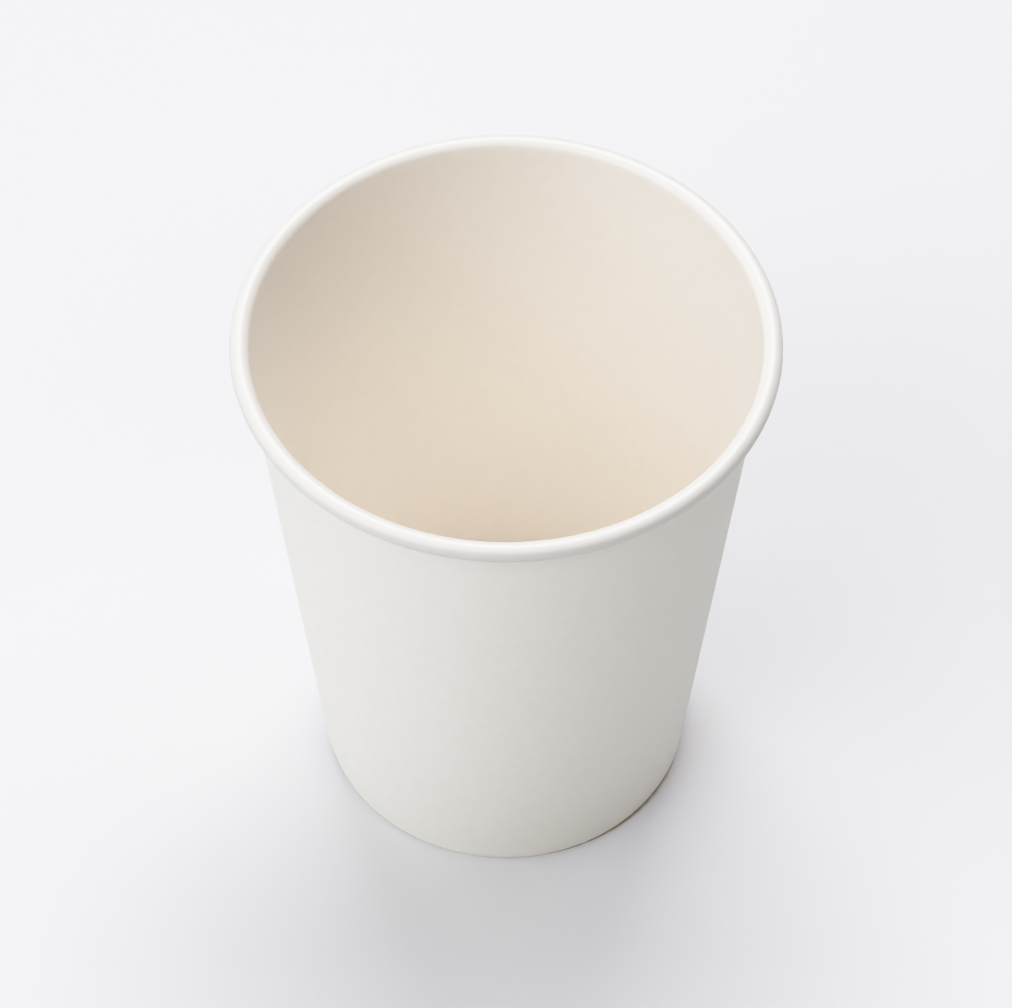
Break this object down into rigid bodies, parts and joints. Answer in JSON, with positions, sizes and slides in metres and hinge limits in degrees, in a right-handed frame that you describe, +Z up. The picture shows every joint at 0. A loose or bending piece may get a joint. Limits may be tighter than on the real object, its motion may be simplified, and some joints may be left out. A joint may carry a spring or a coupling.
{
  "type": "paper coffee cup",
  "caption": "Plain white single-wall paper cup for hot drinks, tapered, with a rolled rim, a lapped side seam and a recessed bottom.",
  "frame": {"origin": "centre of the folded ring that the cup stands on, at table level", "axes": "+Z up the cup's axis towards the rim; -Y towards the viewer in the picture; the side seam lies at -X"},
  "size_m": [0.08, 0.08, 0.093],
  "materials": {
    "cup_board": "matte white paperboard, its drink side thinly coated",
    "coated_board": "white paperboard with a thin satin coating on its drink side"
  },
  "bodies": {
    "root": {"sidewall": "cup_board", "bottom_disc": "coated_board"}
  },
  "joints": []
}
